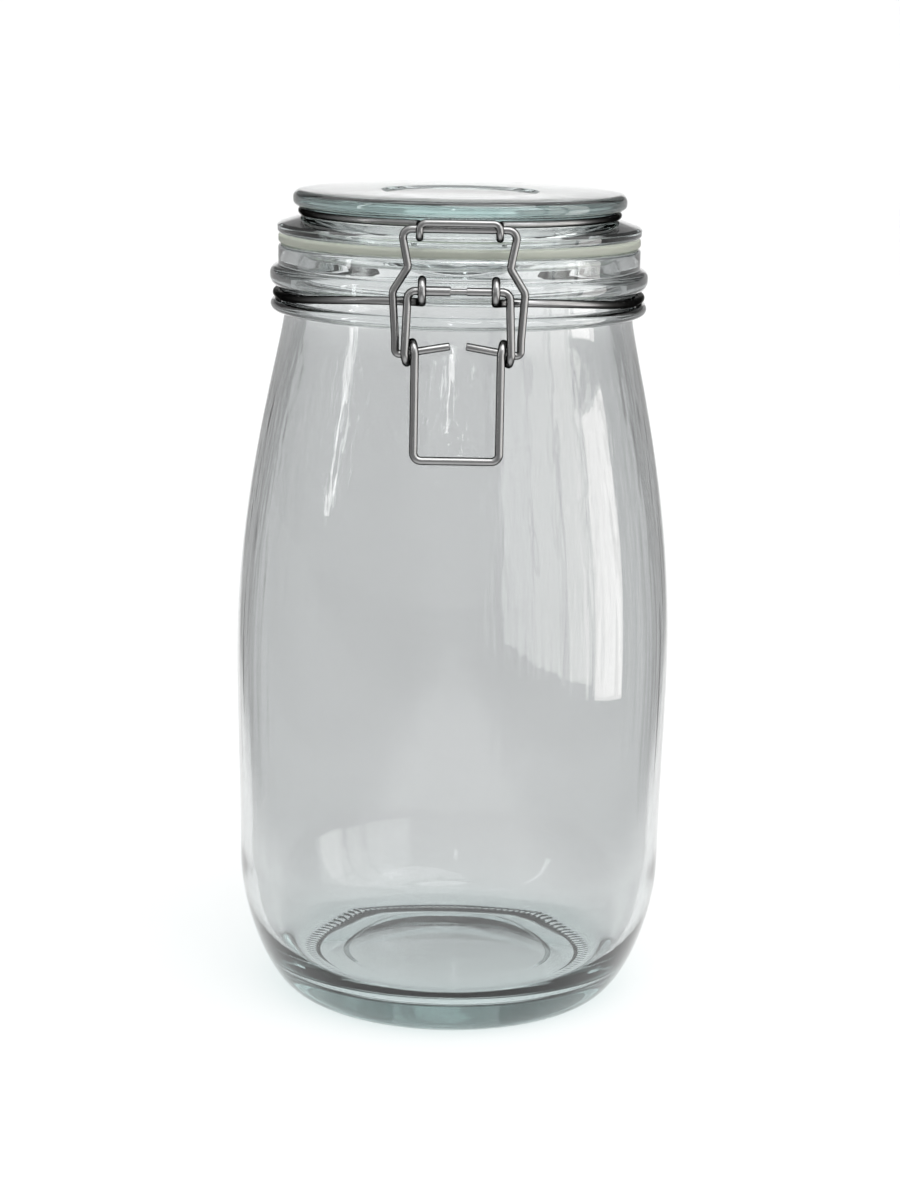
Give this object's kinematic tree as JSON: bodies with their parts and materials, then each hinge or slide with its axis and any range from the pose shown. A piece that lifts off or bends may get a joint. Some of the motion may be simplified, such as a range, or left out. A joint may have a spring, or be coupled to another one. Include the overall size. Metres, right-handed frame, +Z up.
{
  "type": "clip-top glass storage jar",
  "caption": "Tall barrel-shaped clear glass storage jar with a hinged glass lid, a rubber gasket and a wire clip closure, standing empty.",
  "frame": {"origin": "centre of the round foot, on the surface that the jar stands on", "axes": "+Z up along the jar's axis; the wire clip is at -Y and the lid's hinge at +Y"},
  "size_m": [0.1214, 0.1214, 0.2256],
  "materials": {
    "clear_glass": "clear pressed glass with a faint blue-green cast in the thick edges",
    "steel_wire": "bright drawn stainless wire",
    "gasket_rubber": "milky translucent rubber"
  },
  "bodies": {
    "jar": {"jar_body": "clear_glass", "neck_ring": "steel_wire"},
    "lid": {"lid_glass": "clear_glass", "gasket": "gasket_rubber", "lid_ring": "steel_wire"},
    "lever": {"lever": "steel_wire"},
    "yoke": {"yoke": "steel_wire"}
  },
  "joints": [
    {"name": "lid_hinge", "type": "hinge", "parent": "jar", "child": "lid", "pos_m": [0, 0.0558, 0.207], "axis": [-1, 0, 0], "range_deg": [0, 105]},
    {"name": "lever_pivot", "type": "hinge", "parent": "jar", "child": "lever", "pos_m": [0, -0.0558, 0.2038], "axis": [-1, 0, 0], "range_deg": [0, 16]},
    {"name": "yoke_swing", "type": "hinge", "parent": "lever", "child": "yoke", "pos_m": [0, -0.0552, 0.188], "axis": [1, 0, 0], "range_deg": [0, 170]}
  ],
  "couplings": [
    {"joint": "lever_pivot", "follows": "lid_hinge", "ratio": 0.15},
    {"joint": "yoke_swing", "follows": "lid_hinge", "ratio": 1.6}
  ]
}
